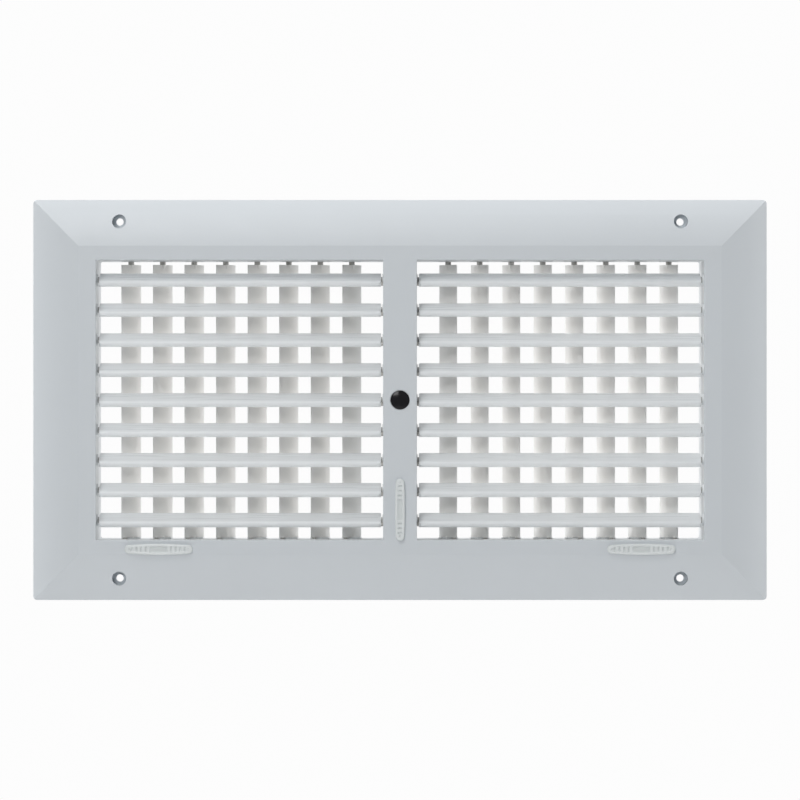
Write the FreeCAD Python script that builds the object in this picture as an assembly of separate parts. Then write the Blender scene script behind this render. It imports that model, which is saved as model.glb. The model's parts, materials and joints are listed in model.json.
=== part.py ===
import FreeCAD, Part
import math
import os

from FreeCAD import Vector

# Double-deflection air grille with a bevelled wall flange. All sizes are in millimetres.
# +X is to the right, +Y goes into the wall and +Z is up. The origin is the centre of the
# flange, in the plane of the wall, so the flange is at negative Y and the duct neck at positive Y.

# --- Flange ------------------------------------------------------------------------------
OUTER_WIDTH = 550.0
OUTER_HEIGHT = 300.0
FRAME_DEPTH = 18.0
CORNER_RADIUS = 3.0
BEVEL_WIDTH = 35.0
BEVEL_CROWN = 2.0
RIM_HEIGHT = 2.6
RIM_WALL = 3.2
SHELL_WALL = 2.6
SIDE_BORDER = 48.0
TOP_BORDER = 45.5
MULLION_WIDTH = 25.2
WINDOW_CORNER_RADIUS = 1.2
WINDOW_EDGE_RADIUS = 0.8

# Wall screws, measured in from the corners of the flange
SCREW_INSET_X = 65.0
SCREW_INSET_Z = 16.5
SCREW_HOLE_RADIUS = 2.75
SCREW_MOUTH_RADIUS = 5.3
SCREW_FLOOR = 3.0
SCREW_BOSS_WALL = 2.2

# Stiffening ribs behind the bevel
RIB_PITCH = 50.0
RIB_WALL = 1.6
RIB_CLEAR = 2.0

# --- Duct collar -------------------------------------------------------------------------
NECK_GAP_X = 20.0
NECK_GAP_Z = 17.5
NECK_WALL = 2.4
NECK_CORNER_RADIUS = 6.0
NECK_FRONT = -5.5
REAR_PLATE = 2.0
REAR_GAP = 6.5
SKIRT_WALL = 1.8
SKIRT_CLEARANCE = 0.3
SKIRT_REAR = -1.0
LUG_REACH = 12.0
LUG_WIDTH = 14.0
LUG_THICKNESS = 2.5
LUG_TO_WALL_SCREW = 60.0
COLLAR_BOSS_RADIUS = 4.0

# Screws that hold the collar to the flange
COLLAR_SCREW_RADIUS = 1.45
COLLAR_SCREW_LENGTH = 8.0
COLLAR_SCREW_FIT = 0.05
COLLAR_HEAD_RADIUS = 2.8
COLLAR_HEAD_HEIGHT = 2.0
CROSS_LENGTH = 3.0
CROSS_WIDTH = 0.7
CROSS_DEPTH = 1.2

# --- Pivot rails -------------------------------------------------------------------------
RAIL_WALL = 2.2
RAIL_SETBACK = 0.4
LOCATOR_WALL = 1.0
LOCATOR_HEIGHT = 1.2
LOCATOR_GAP = 0.1
LOUVRE_BOSS_WALL = 2.2
LOUVRE_BOSS_HEIGHT = 1.0
VANE_BOSS_RADIUS = 7.5
VANE_HEAD_BOSS = 0.4
VANE_FOOT_BOSS = 1.0

# --- Louvres: the front row, horizontal --------------------------------------------------
LOUVRE_COUNT = 9
LOUVRE_MARGIN = 14.5
LOUVRE_NOSE_RADIUS = 2.5
LOUVRE_TAIL_RADIUS = 0.7
LOUVRE_FRONT = 8.0
LOUVRE_REAR = 9.5
LOUVRE_END_GAP = 1.6
LOUVRE_CORNER_RADIUS = 2.0
LOUVRE_REST = 30.0
LOUVRE_LIMIT = 45.0

# --- Vanes: the rear row, upright --------------------------------------------------------
VANE_COUNT = 8
ROW_GAP = 6.0
VANE_HALF_CHORD = 9.0
VANE_HALF_THICKNESS = 1.5
VANE_EDGE_RADIUS = 0.6
VANE_TOP_GAP = 2.5
VANE_FOOT_GAP = 0.15
VANE_REST = {"left": -51.0, "right": 46.0}
VANE_LIMIT = 55.0

# --- Pins and cranks ---------------------------------------------------------------------
PIN_RADIUS = 2.2
PIN_PROUD = 0.2
PIN_GUSSET = 8.0
FOOT_GUSSET = 2.5
GUSSET_TIP_RADIUS = 0.5
CRANK_ARM = 6.0
CRANK_RADIUS = 1.5
CRANK_PROUD = 0.5
RUNNING_FIT = 0.05
SLOT_FIT = 0.3

# --- Link bars ---------------------------------------------------------------------------
BAR_SIDE_GAP = 1.5
BAR_FRONT_GAP = 0.9
BAR_FLANGE = 2.0
BAR_HALF_DEPTH = 3.2
BAR_WEB = 1.4
BAR_OVERHANG = 4.0
VANE_BAR_GAP = 0.6
VANE_BAR_THICKNESS = 2.0
VANE_ARM_HALF_WIDTH = 5.0
FORK_PRONG = 2.0
FORK_LENGTH = 6.0
FORK_FRONT_GAP = 0.5
LOUVRE_FORK_CLEARANCE = 0.35
VANE_FORK_CLEARANCE = 0.45

# --- Thumb sliders -----------------------------------------------------------------------
VANE_SLIDER_INSET = 47.0
# Slider travel per radian of blade, as a share of the crank arm, averaged over the swing
LOUVRE_RATE_SHARE = 0.93
VANE_RATE_SHARE = 0.88
LOUVRE_GRIP = {"length": 46.3, "width": 7.3}
VANE_GRIP = {"length": 51.0, "width": 8.3}
GRIP_END_RADIUS = 3.3
GRIP_HEIGHT = 3.0
GRIP_EDGE_RADIUS = 0.9
GRIP_RIM = 1.1
GRIP_RECESS = 0.9
GRIP_RIB_COUNT = 4
GRIP_RIB_PITCH = 3.5
GRIP_RIB_WIDTH = 1.3
GRIP_RIB_HEIGHT = 0.6
GRIP_SMOOTH_LENGTH = 16.0
SLIDE_GAP = 0.1
STEM_THICKNESS = 2.4
STEM_BREADTH = 4.0
STEM_GAP = 0.4
CLIP_THICKNESS = 1.2
LOUVRE_CLIP_HALF = (4.5, 6.0)
VANE_CLIP_HALF = (6.0, 2.7)

# --- Centre cap --------------------------------------------------------------------------
CAP_RADIUS = 7.05
CAP_RECESS_GAP = 0.3
CAP_RECESS_DEPTH = 1.0
CAP_EDGE = 1.1
CAP_DOME = 0.7
CAP_SHANK_RADIUS = 3.9
CAP_BEAD_RADIUS = 4.3
CAP_BEAD_LENGTH = 0.9
CAP_SHANK_GAP = 0.1

# --- Worked out from the sizes above -----------------------------------------------------
SIDES = ("left", "right")
SIDE_SIGN = {"left": -1.0, "right": 1.0}
HALF_WIDTH = OUTER_WIDTH / 2
HALF_HEIGHT = OUTER_HEIGHT / 2
OPENING_HALF_WIDTH = HALF_WIDTH - SIDE_BORDER
OPENING_HALF_HEIGHT = HALF_HEIGHT - TOP_BORDER
MULLION_HALF_WIDTH = MULLION_WIDTH / 2
WINDOW_WIDTH = OPENING_HALF_WIDTH - MULLION_HALF_WIDTH
WINDOW_CENTRE = (OPENING_HALF_WIDTH + MULLION_HALF_WIDTH) / 2
FACE_Y = -FRAME_DEPTH
FACE_BACK_Y = FACE_Y + SHELL_WALL

LOUVRE_PITCH = 2 * (OPENING_HALF_HEIGHT - LOUVRE_MARGIN) / (LOUVRE_COUNT - 1)
VANE_PITCH = WINDOW_WIDTH / (VANE_COUNT + 1)

# The louvre link bar clears the slider clip at the front of its swing, and each row of
# blades clears the one before it. That sets the depth of the whole housing.
CLIP_REAR_Y = FACE_BACK_Y + SLIDE_GAP + CLIP_THICKNESS
LOUVRE_PIVOT_Y = CLIP_REAR_Y + BAR_FRONT_GAP + BAR_HALF_DEPTH + CRANK_ARM
STEM_TIP_Y = LOUVRE_PIVOT_Y - CRANK_ARM + BAR_HALF_DEPTH - BAR_WEB - STEM_GAP
VANE_PIVOT_Y = LOUVRE_PIVOT_Y + LOUVRE_REAR + ROW_GAP + VANE_HALF_CHORD
REAR_PLATE_Y = VANE_PIVOT_Y + VANE_HALF_CHORD + REAR_GAP
NECK_REAR = REAR_PLATE_Y + REAR_PLATE

NECK_HALF_WIDTH = OPENING_HALF_WIDTH + NECK_GAP_X
NECK_HALF_HEIGHT = OPENING_HALF_HEIGHT + NECK_GAP_Z
LUG_REAR_Y = NECK_FRONT + LUG_THICKNESS

VANE_RAIL_Z = OPENING_HALF_HEIGHT + RAIL_SETBACK
VANE_BAR_TOP = -(VANE_RAIL_Z + RAIL_WALL + VANE_BAR_GAP)
VANE_BAR_BOTTOM = VANE_BAR_TOP - VANE_BAR_THICKNESS
FORK_FRONT_Y = CLIP_REAR_Y + FORK_FRONT_GAP
VANE_SLIDER_Z = VANE_BAR_BOTTOM - STEM_GAP - STEM_THICKNESS / 2
LOUVRE_BAR_HALF_WIDTH = MULLION_HALF_WIDTH - RAIL_SETBACK - RAIL_WALL - BAR_SIDE_GAP
LOUVRE_SLIDER_RATE = CRANK_ARM * LOUVRE_RATE_SHARE
VANE_SLIDER_RATE = CRANK_ARM * VANE_RATE_SHARE

# The crowned bevel is an arc of this circle, seen in section: distance in from the edge of
# the flange, and height off the wall.
BEVEL_RISE = FRAME_DEPTH - RIM_HEIGHT
BEVEL_CHORD = math.hypot(BEVEL_WIDTH, BEVEL_RISE)
BEVEL_RADIUS = (BEVEL_CHORD ** 2 / 4 + BEVEL_CROWN ** 2) / (2 * BEVEL_CROWN)
BEVEL_DROP = BEVEL_RADIUS - BEVEL_CROWN
BEVEL_CENTRE_DISTANCE = BEVEL_WIDTH / 2 + BEVEL_DROP * BEVEL_RISE / BEVEL_CHORD
BEVEL_CENTRE_HEIGHT = RIM_HEIGHT + BEVEL_RISE / 2 - BEVEL_DROP * BEVEL_WIDTH / BEVEL_CHORD

Y_AXIS = Vector(0, 1, 0)
Z_AXIS = Vector(0, 0, 1)
ORIGIN = Vector(0, 0, 0)


# --- Helpers -----------------------------------------------------------------------------
def box(x_range, y_range, z_range):
    """A box between two limits along each axis, given in any order."""
    low = Vector(min(x_range), min(y_range), min(z_range))
    high = Vector(max(x_range), max(y_range), max(z_range))
    size = high - low
    return Part.makeBox(size.x, size.y, size.z, low)


def rod(radius, start, end):
    """A cylinder from one point to another."""
    return Part.makeCylinder(radius, (end - start).Length, start, end - start)


def rounded_slab(half_width, half_height, y_range, radius, centre_x=0.0):
    """A slab facing along Y, with its four upright edges rounded."""
    x_range = (centre_x - half_width, centre_x + half_width)
    slab = box(x_range, y_range, (-half_height, half_height))
    corners = [edge for edge in slab.Edges if abs(edge.tangentAt(0).y) > 0.99]
    return slab.makeFillet(radius, corners)


def filled(edges):
    """A flat face inside a closed run of edges."""
    return Part.Face(Part.Wire([edge.toShape() for edge in edges]))


def arc(start, middle, end):
    return Part.Arc(start, middle, end)


def line(start, end):
    return Part.LineSegment(start, end)


def polar(radius, degrees, z=0.0):
    """A point at an angle from -Y, turning towards +X."""
    angle = math.radians(degrees)
    return Vector(radius * math.sin(angle), -radius * math.cos(angle), z)


def crank_offset(degrees):
    """Where a blade's crank pin is from its pivot: (sideways, along Y)."""
    point = polar(CRANK_ARM, degrees)
    return point.x, point.y


def louvre_heights():
    """The heights of the louvre pivots, from the top down."""
    top = OPENING_HALF_HEIGHT - LOUVRE_MARGIN
    return [top - index * LOUVRE_PITCH for index in range(LOUVRE_COUNT)]


def vane_positions(side):
    """The places of one window's vane pivots along X, from left to right."""
    left_edge = SIDE_SIGN[side] * WINDOW_CENTRE - WINDOW_WIDTH / 2
    return [left_edge + (index + 1) * VANE_PITCH for index in range(VANE_COUNT)]


def as_louvre(shape, angle, x, z):
    """Turns a blade made along Z to lie along X, at its angle and its pivot."""
    turned = shape.copy()
    turned.rotate(ORIGIN, Z_AXIS, angle)
    turned.rotate(ORIGIN, Y_AXIS, 90)
    turned.translate(Vector(x, LOUVRE_PIVOT_Y, z))
    return turned


def as_vane(shape, angle, x):
    """Puts a blade made along Z at its angle and its pivot."""
    turned = shape.copy()
    turned.rotate(ORIGIN, Z_AXIS, angle)
    turned.translate(Vector(x, VANE_PIVOT_Y, 0))
    return turned


# --- Where the sliders are ---------------------------------------------------------------
def louvre_slider_height():
    """At rest the slider lies midway between the two lowest crank pins."""
    heights = louvre_heights()
    sideways, _ = crank_offset(LOUVRE_REST)
    return (heights[-1] + heights[-2]) / 2 - sideways


def louvre_slider_travel():
    """How far the louvre slider goes down and up from rest."""
    down = LOUVRE_SLIDER_RATE * math.radians(LOUVRE_LIMIT - LOUVRE_REST)
    up = LOUVRE_SLIDER_RATE * math.radians(LOUVRE_LIMIT + LOUVRE_REST)
    return -down, up


def vane_slider_place(side):
    return SIDE_SIGN[side] * (OPENING_HALF_WIDTH - VANE_SLIDER_INSET)


def vane_slider_travel(side):
    """How far a vane slider goes to the left and to the right from rest."""
    left = VANE_SLIDER_RATE * math.radians(VANE_LIMIT + VANE_REST[side])
    right = VANE_SLIDER_RATE * math.radians(VANE_LIMIT - VANE_REST[side])
    return -left, right


# --- Flange ------------------------------------------------------------------------------
def bevel_height(distance, inset):
    """Height off the wall of the bevel, or of the surface that lies inset mm under it."""
    radius = BEVEL_RADIUS - inset
    return BEVEL_CENTRE_HEIGHT + math.sqrt(radius ** 2 - (distance - BEVEL_CENTRE_DISTANCE) ** 2)


def bevel_end(inset):
    """Distance from the edge of the flange at which that surface meets the flat face."""
    radius = BEVEL_RADIUS - inset
    height = FRAME_DEPTH - inset - BEVEL_CENTRE_HEIGHT
    return BEVEL_CENTRE_DISTANCE - math.sqrt(radius ** 2 - height ** 2)


def bevel_section(half_span, edge, inset, place):
    """The flange cut across: a flat top between two crowned bevels. place maps it into space."""
    stations = [edge, (edge + bevel_end(inset)) / 2, bevel_end(inset)]
    rise = [(distance - half_span, bevel_height(distance, inset)) for distance in stations]
    fall = [(-across, height) for across, height in reversed(rise)]
    foot_left = place(edge - half_span, 0)
    foot_right = place(half_span - edge, 0)
    left = [place(*point) for point in rise]
    right = [place(*point) for point in fall]
    return filled([
        line(foot_left, left[0]),
        arc(*left),
        line(left[2], right[0]),
        arc(*right),
        line(right[2], foot_right),
        line(foot_right, foot_left),
    ])


def mitred_solid(edge, inset):
    """The bevelled block, whose bevels meet at mitres in its four corners."""
    wide = bevel_section(HALF_WIDTH, edge, inset, lambda across, up: Vector(across, -up, -HALF_HEIGHT))
    tall = bevel_section(HALF_HEIGHT, edge, inset, lambda across, up: Vector(-HALF_WIDTH, -up, across))
    along_z = wide.extrude(Vector(0, 0, OUTER_HEIGHT))
    along_x = tall.extrude(Vector(OUTER_WIDTH, 0, 0))
    return along_z.common(along_x)


def wall_screw_places():
    x = HALF_WIDTH - SCREW_INSET_X
    z = HALF_HEIGHT - SCREW_INSET_Z
    return [(x * side, z * level) for side in (-1, 1) for level in (-1, 1)]


def collar_screw_places():
    """Three screws above, three below and one at each side."""
    x = NECK_HALF_WIDTH + LUG_REACH / 2
    z = NECK_HALF_HEIGHT + LUG_REACH / 2
    spacing = HALF_WIDTH - SCREW_INSET_X - LUG_TO_WALL_SCREW
    rows = [(spacing * step, z * level) for step in (-1, 0, 1) for level in (-1, 1)]
    return rows + [(-x, 0.0), (x, 0.0)]


def rib_places(span, lugs):
    """Evenly spaced places to both sides of the middle, leaving out those too near a lug."""
    reach = LUG_WIDTH / 2 + RIB_WALL
    steps = [(index + 0.5) * RIB_PITCH for index in range(int(span / RIB_PITCH))]
    both = [sign * step for step in steps for sign in (-1, 1)]
    return [place for place in both if all(abs(place - lug) > reach for lug in lugs)]


def stepped_rib(edge, neck, place_box):
    """A rib from the edge of the flange inwards: deep outside the neck, shallow in front of it."""
    outside = neck + SKIRT_CLEARANCE
    inside = neck - NECK_WALL
    return [
        place_box((edge, outside), (-FRAME_DEPTH, -RIB_CLEAR)),
        place_box((edge, inside), (-FRAME_DEPTH, NECK_FRONT - SKIRT_CLEARANCE)),
    ]


def stiffening_ribs(hollow):
    """Thin ribs from the rim to the skirt, trimmed to the space behind the bevel."""
    half = RIB_WALL / 2
    ribs = []
    for x in rib_places(HALF_WIDTH, [x for x, z in collar_screw_places() if z]):
        for level in (-1, 1):
            ribs += stepped_rib(HALF_HEIGHT, NECK_HALF_HEIGHT, lambda across, y_range: box(
                (x - half, x + half), y_range, (level * across[0], level * across[1])))
    for z in rib_places(OPENING_HALF_HEIGHT, [0.0]):
        for side in (-1, 1):
            ribs += stepped_rib(HALF_WIDTH, NECK_HALF_WIDTH, lambda across, y_range: box(
                (side * across[0], side * across[1]), y_range, (z - half, z + half)))
    return ribs[0].fuse(ribs[1:]).common(hollow)


def skirt(hollow):
    """A short wall round the back of the frame, which the duct collar slides over."""
    half_width = NECK_HALF_WIDTH - NECK_WALL - SKIRT_CLEARANCE
    half_height = NECK_HALF_HEIGHT - NECK_WALL - SKIRT_CLEARANCE
    radius = NECK_CORNER_RADIUS - NECK_WALL
    y_range = (-FRAME_DEPTH, SKIRT_REAR)
    outside = rounded_slab(half_width, half_height, y_range, radius)
    inside = rounded_slab(half_width - SKIRT_WALL, half_height - SKIRT_WALL, y_range, radius - SKIRT_WALL)
    return outside.cut(inside).common(hollow)


def rail_cassette(grow, y_range, side):
    """A slab the size of one window's set of rails, seen from the front."""
    half_width = WINDOW_WIDTH / 2 + RAIL_SETBACK + RAIL_WALL + grow
    half_height = VANE_RAIL_Z + RAIL_WALL + grow
    x = SIDE_SIGN[side] * WINDOW_CENTRE
    return box((x - half_width, x + half_width), y_range, (-half_height, half_height))


def rail_locators(y_range):
    """Low ribs just outside the rails, which keep them in place."""
    rings = []
    for side in SIDES:
        outside = rail_cassette(LOCATOR_GAP + LOCATOR_WALL, y_range, side)
        rings.append(outside.cut(rail_cassette(LOCATOR_GAP, y_range, side)))
    return rings[0].fuse(rings[1:])


def window_openings(grow, y_range, radius):
    """The two window openings as solids to cut away."""
    half_width = WINDOW_WIDTH / 2 + grow
    half_height = OPENING_HALF_HEIGHT + grow
    return [
        rounded_slab(half_width, half_height, y_range, radius, SIDE_SIGN[side] * WINDOW_CENTRE)
        for side in SIDES
    ]


def slider_slots():
    """The slots that the slider stems pass through."""
    y_range = (FACE_Y - SHELL_WALL, FACE_BACK_Y + LOCATOR_HEIGHT)
    half_x = STEM_THICKNESS / 2 + SLOT_FIT
    down, up = louvre_slider_travel()
    reach = STEM_BREADTH / 2 + SLOT_FIT
    z = louvre_slider_height()
    slots = [box((-half_x, half_x), y_range, (z + down - reach, z + up + reach))]
    for side in SIDES:
        left, right = vane_slider_travel(side)
        x = vane_slider_place(side)
        z_range = (VANE_SLIDER_Z - half_x, VANE_SLIDER_Z + half_x)
        slots.append(box((x + left - reach, x + right + reach), y_range, z_range))
    return slots


def cap_seat():
    """The recess and hole for the centre cap."""
    recess_y = FACE_Y + CAP_RECESS_DEPTH
    recess = rod(CAP_RADIUS + CAP_RECESS_GAP, Vector(0, FACE_Y - SHELL_WALL, 0), Vector(0, recess_y, 0))
    hole = rod(CAP_SHANK_RADIUS + CAP_SHANK_GAP, Vector(0, FACE_Y, 0), Vector(0, FACE_BACK_Y + 1, 0))
    return recess.fuse(hole)


def round_window_edges(frame):
    """Rounds the front edge of each window."""
    def on_window(edge):
        bounds = edge.BoundBox
        flat = abs(bounds.YMin - FACE_Y) < 0.01 and abs(bounds.YMax - FACE_Y) < 0.01
        inside_x = bounds.XMax < OPENING_HALF_WIDTH + 1 and bounds.XMin > -OPENING_HALF_WIDTH - 1
        inside_z = bounds.ZMax < OPENING_HALF_HEIGHT + 1 and bounds.ZMin > -OPENING_HALF_HEIGHT - 1
        mid_x = (bounds.XMin + bounds.XMax) / 2
        return flat and inside_x and inside_z and abs(mid_x) > MULLION_HALF_WIDTH - 1
    edges = [edge for edge in frame.Edges if on_window(edge)]
    return frame.makeFillet(WINDOW_EDGE_RADIUS, edges)


def front_frame():
    hollow = mitred_solid(RIM_WALL, SHELL_WALL)
    prism = rounded_slab(HALF_WIDTH, HALF_HEIGHT, (-FRAME_DEPTH - 1, 1), CORNER_RADIUS)
    frame = mitred_solid(0.0, 0.0).common(prism).cut(hollow)
    frame = frame.cut(window_openings(0.0, (-FRAME_DEPTH - 1, 1), WINDOW_CORNER_RADIUS))
    frame = round_window_edges(frame)

    additions = [stiffening_ribs(hollow), skirt(hollow)]
    additions.append(rail_locators((FACE_BACK_Y - 1, FACE_BACK_Y + LOCATOR_HEIGHT)))
    cuts = slider_slots() + [cap_seat()]
    for x, z in wall_screw_places():
        boss = rod(SCREW_MOUTH_RADIUS + SCREW_BOSS_WALL, Vector(x, FACE_Y, z), Vector(x, 0, z))
        additions.append(boss.common(hollow))
        cuts.append(rod(SCREW_MOUTH_RADIUS, Vector(x, FACE_Y - 1, z), Vector(x, -SCREW_FLOOR, z)))
        cuts.append(rod(SCREW_HOLE_RADIUS, Vector(x, FACE_Y, z), Vector(x, 1, z)))
    for x, z in collar_screw_places():
        boss = rod(COLLAR_BOSS_RADIUS, Vector(x, FACE_Y, z), Vector(x, NECK_FRONT, z))
        additions.append(boss.common(hollow))
        tip = Vector(x, LUG_REAR_Y - COLLAR_SCREW_LENGTH - SLOT_FIT, z)
        cuts.append(rod(COLLAR_SCREW_RADIUS + COLLAR_SCREW_FIT, tip, Vector(x, 0, z)))
    return frame.fuse(additions).cut(cuts).removeSplitter()


# --- Duct collar -------------------------------------------------------------------------
def duct_collar():
    y_range = (NECK_FRONT, NECK_REAR)
    inner_radius = NECK_CORNER_RADIUS - NECK_WALL
    collar = rounded_slab(NECK_HALF_WIDTH, NECK_HALF_HEIGHT, y_range, NECK_CORNER_RADIUS)
    half_width = NECK_HALF_WIDTH - NECK_WALL
    half_height = NECK_HALF_HEIGHT - NECK_WALL
    collar = collar.cut(rounded_slab(half_width, half_height, (NECK_FRONT - 1, REAR_PLATE_Y), inner_radius))
    collar = collar.cut(window_openings(RAIL_SETBACK, (0, NECK_REAR + 1), WINDOW_CORNER_RADIUS))

    additions = [rail_locators((REAR_PLATE_Y - LOCATOR_HEIGHT, REAR_PLATE_Y + 1))]
    cuts = []
    for x, z in collar_screw_places():
        additions.append(collar_lug(x, z))
        hole_radius = COLLAR_SCREW_RADIUS + SLOT_FIT
        cuts.append(rod(hole_radius, Vector(x, NECK_FRONT - 1, z), Vector(x, LUG_REAR_Y + 1, z)))
    return collar.fuse(additions).cut(cuts).removeSplitter()


def collar_lug(x, z):
    """A flat ear on the outside of the neck, round one screw."""
    half = LUG_WIDTH / 2
    y_range = (NECK_FRONT, LUG_REAR_Y)
    if z == 0:
        side = math.copysign(1, x)
        start = side * (NECK_HALF_WIDTH - NECK_WALL / 2)
        return box((start, side * (NECK_HALF_WIDTH + LUG_REACH)), y_range, (-half, half))
    level = math.copysign(1, z)
    start = level * (NECK_HALF_HEIGHT - NECK_WALL / 2)
    return box((x - half, x + half), y_range, (start, level * (NECK_HALF_HEIGHT + LUG_REACH)))


def collar_screws():
    """The screws are alike, so they are one group."""
    shank_tip = Vector(0, LUG_REAR_Y - COLLAR_SCREW_LENGTH, 0)
    head_top = LUG_REAR_Y + COLLAR_HEAD_HEIGHT
    shank = rod(COLLAR_SCREW_RADIUS, shank_tip, Vector(0, LUG_REAR_Y, 0))
    head = rod(COLLAR_HEAD_RADIUS, Vector(0, LUG_REAR_Y, 0), Vector(0, head_top, 0))
    rim = [edge for edge in head.Edges if edge.BoundBox.YMin > head_top - 0.01]
    head = head.makeFillet(COLLAR_HEAD_HEIGHT / 2, rim)
    screw = shank.fuse(head)
    long_half = CROSS_LENGTH / 2
    short_half = CROSS_WIDTH / 2
    for half_x, half_z in ((long_half, short_half), (short_half, long_half)):
        y_range = (head_top - CROSS_DEPTH, head_top + 1)
        screw = screw.cut(box((-half_x, half_x), y_range, (-half_z, half_z)))
    copies = []
    for x, z in collar_screw_places():
        placed = screw.copy()
        placed.translate(Vector(x, 0, z))
        copies.append(placed)
    return Part.makeCompound(copies)


# --- Pivot rails -------------------------------------------------------------------------
def crank_slot(limit, low, high):
    """A curved slot about the Z axis, as wide as a crank pin with room to move."""
    half = CRANK_RADIUS + SLOT_FIT
    inner = [polar(CRANK_ARM - half, angle, low) for angle in (limit, 0, -limit)]
    outer = [polar(CRANK_ARM + half, angle, low) for angle in (-limit, 0, limit)]
    turn = math.degrees(half / CRANK_ARM)
    start_cap = polar(CRANK_ARM, -limit - turn, low)
    end_cap = polar(CRANK_ARM, limit + turn, low)
    face = filled([
        arc(*outer),
        arc(outer[2], end_cap, inner[0]),
        arc(*inner),
        arc(inner[2], start_cap, outer[0]),
    ])
    return face.extrude(Vector(0, 0, high - low))


def louvre_rail(face_x, outward, with_cranks):
    """A side wall of a window. face_x is its face towards the louvres."""
    y_range = (FACE_BACK_Y, REAR_PLATE_Y)
    rail = box((face_x, face_x + outward * RAIL_WALL), y_range, (-VANE_RAIL_Z, VANE_RAIL_Z))
    inner_x = face_x - outward * LOUVRE_BOSS_HEIGHT
    outer_x = face_x + outward * RAIL_WALL
    bosses = []
    holes = []
    for z in louvre_heights():
        near = Vector(inner_x, LOUVRE_PIVOT_Y, z)
        bosses.append(rod(PIN_RADIUS + LOUVRE_BOSS_WALL, near, Vector(outer_x, LOUVRE_PIVOT_Y, z)))
        beyond = Vector(outer_x + outward, LOUVRE_PIVOT_Y, z)
        holes.append(rod(PIN_RADIUS + RUNNING_FIT, near - Vector(outward, 0, 0), beyond))
        if with_cranks:
            reach = RAIL_WALL + LOUVRE_BOSS_HEIGHT + 1
            slot = crank_slot(LOUVRE_LIMIT, -reach, reach)
            holes.append(as_louvre(slot, 0.0, face_x, z))
    return rail.fuse(bosses).cut(holes).removeSplitter()


def vane_rail(side, level, with_cranks):
    """The top or bottom wall of a window. level is 1 at the top and -1 at the bottom."""
    x = SIDE_SIGN[side] * WINDOW_CENTRE
    half_width = WINDOW_WIDTH / 2 + RAIL_SETBACK + RAIL_WALL
    inner_z = level * VANE_RAIL_Z
    outer_z = level * (VANE_RAIL_Z + RAIL_WALL)
    y_range = (FACE_BACK_Y, REAR_PLATE_Y)
    rail = box((x - half_width, x + half_width), y_range, (inner_z, outer_z))
    boss_height = VANE_FOOT_BOSS if with_cranks else VANE_HEAD_BOSS
    bosses = []
    holes = []
    for pivot_x in vane_positions(side):
        near = Vector(pivot_x, VANE_PIVOT_Y, level * (VANE_RAIL_Z - boss_height))
        bosses.append(rod(VANE_BOSS_RADIUS, near, Vector(pivot_x, VANE_PIVOT_Y, outer_z)))
        beyond = Vector(pivot_x, VANE_PIVOT_Y, outer_z + level)
        holes.append(rod(PIN_RADIUS + RUNNING_FIT, near - Vector(0, 0, level), beyond))
        if with_cranks:
            slot = crank_slot(VANE_LIMIT, -VANE_RAIL_Z - RAIL_WALL - 1, -VANE_RAIL_Z + boss_height + 1)
            holes.append(as_vane(slot, 0.0, pivot_x))
    return rail.fuse(bosses).cut(holes).removeSplitter()


# --- Blades ------------------------------------------------------------------------------
def louvre_section():
    """A teardrop with its round nose towards -Y."""
    nose_y = LOUVRE_NOSE_RADIUS - LOUVRE_FRONT
    tail_y = LOUVRE_REAR - LOUVRE_TAIL_RADIUS
    lean = math.asin((LOUVRE_NOSE_RADIUS - LOUVRE_TAIL_RADIUS) / (tail_y - nose_y))
    out = Vector(math.cos(lean), math.sin(lean), 0)
    mirrored = Vector(-out.x, out.y, 0)
    nose = Vector(0, nose_y, 0)
    tail = Vector(0, tail_y, 0)
    nose_right = nose + out * LOUVRE_NOSE_RADIUS
    nose_left = nose + mirrored * LOUVRE_NOSE_RADIUS
    tail_right = tail + out * LOUVRE_TAIL_RADIUS
    tail_left = tail + mirrored * LOUVRE_TAIL_RADIUS
    return filled([
        arc(nose_left, Vector(0, -LOUVRE_FRONT, 0), nose_right),
        line(nose_right, tail_right),
        arc(tail_right, Vector(0, LOUVRE_REAR, 0), tail_left),
        line(tail_left, nose_left),
    ])


def vane_section():
    """A slim lens with rounded edges."""
    shoulder = VANE_HALF_CHORD - VANE_EDGE_RADIUS
    front_left = Vector(-VANE_EDGE_RADIUS, -shoulder, 0)
    front_right = Vector(VANE_EDGE_RADIUS, -shoulder, 0)
    rear_left = Vector(-VANE_EDGE_RADIUS, shoulder, 0)
    rear_right = Vector(VANE_EDGE_RADIUS, shoulder, 0)
    return filled([
        arc(front_left, Vector(0, -VANE_HALF_CHORD, 0), front_right),
        arc(front_right, Vector(VANE_HALF_THICKNESS, 0, 0), rear_right),
        arc(rear_right, Vector(0, VANE_HALF_CHORD, 0), rear_left),
        arc(rear_left, Vector(-VANE_HALF_THICKNESS, 0, 0), front_left),
    ])


def end_pin(radius, y, blade_end, tip, gusset):
    """A pin on the end of a blade, with a tapered root that runs into the blade."""
    face = Vector(0, y, blade_end)
    inward = Vector(0, 0, math.copysign(1, blade_end - tip))
    root = Part.makeCone(radius, GUSSET_TIP_RADIUS, gusset, face, inward)
    return root.fuse(rod(radius, face, Vector(0, y, tip)))


def strip(section, low, high):
    """A length of blade along Z, cut square at both ends."""
    body = section.extrude(Vector(0, 0, high - low))
    body.translate(Vector(0, 0, low))
    return body


def rounded_corners(body, low, high):
    """Rounds a louvre's four corners, seen square to its face."""
    half_thickness = LOUVRE_NOSE_RADIUS + 1
    blank = box((-half_thickness, half_thickness), (-LOUVRE_FRONT, LOUVRE_REAR), (low, high))
    corners = [edge for edge in blank.Edges if edge.BoundBox.XLength > half_thickness]
    return body.common(blank.makeFillet(LOUVRE_CORNER_RADIUS, corners))


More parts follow.
